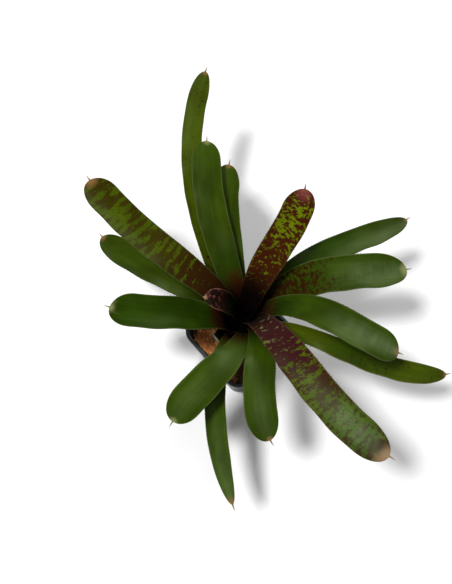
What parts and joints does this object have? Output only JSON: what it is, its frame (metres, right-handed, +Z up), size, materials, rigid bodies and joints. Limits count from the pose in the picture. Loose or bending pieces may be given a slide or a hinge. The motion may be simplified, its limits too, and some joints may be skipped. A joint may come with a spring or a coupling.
{
  "type": "potted neoregelia bromeliad",
  "caption": "Potted bromeliad: an open rosette of strap leaves, some mottled or banded with maroon, in bark in a small square nursery pot.",
  "frame": {"origin": "middle of the pot's flat underside, where it stands on a surface", "axes": "+Z up out of the pot, +X to the right and +Y to the back as the plant is seen from the front; the pot's sides are turned by 41 degrees about Z"},
  "size_m": [0.2647, 0.3317, 0.184],
  "materials": {
    "pot_plastic": "satin dark slate-grey moulded plastic",
    "bark_mix": "rough orange-brown bark chips and coconut husk",
    "stem": "dry, fibrous",
    "leaf_green": "waxy satin, plain green",
    "leaf_mottled": "waxy satin, maroon with pale green blotches",
    "leaf_banded": "waxy satin, olive green with maroon cross-bands",
    "leaf_young": "waxy satin, pink and maroon with cream margins",
    "old_sheath": "dry, dark maroon with a pale edge"
  },
  "bodies": {
    "root": {"pot": "pot_plastic", "substrate": "bark_mix", "stem": "stem", "leaf_bud": "leaf_young", "leaf_heart": "leaf_young", "leaf_mottled_front": "leaf_mottled", "leaf_mottled_back": "leaf_mottled", "leaf_banded_left": "leaf_banded", "leaf_front": "leaf_green", "leaf_glossy_right": "leaf_green", "leaf_front_left": "leaf_green", "leaf_back": "leaf_green", "leaf_left": "leaf_green", "leaf_right": "leaf_green", "leaf_back_short": "leaf_green", "leaf_right_low": "leaf_green", "leaf_front_low": "leaf_green", "leaf_right_upper": "leaf_green", "leaf_left_low": "leaf_green", "leaf_back_long": "leaf_green", "sheath_old": "old_sheath"}
  },
  "joints": []
}
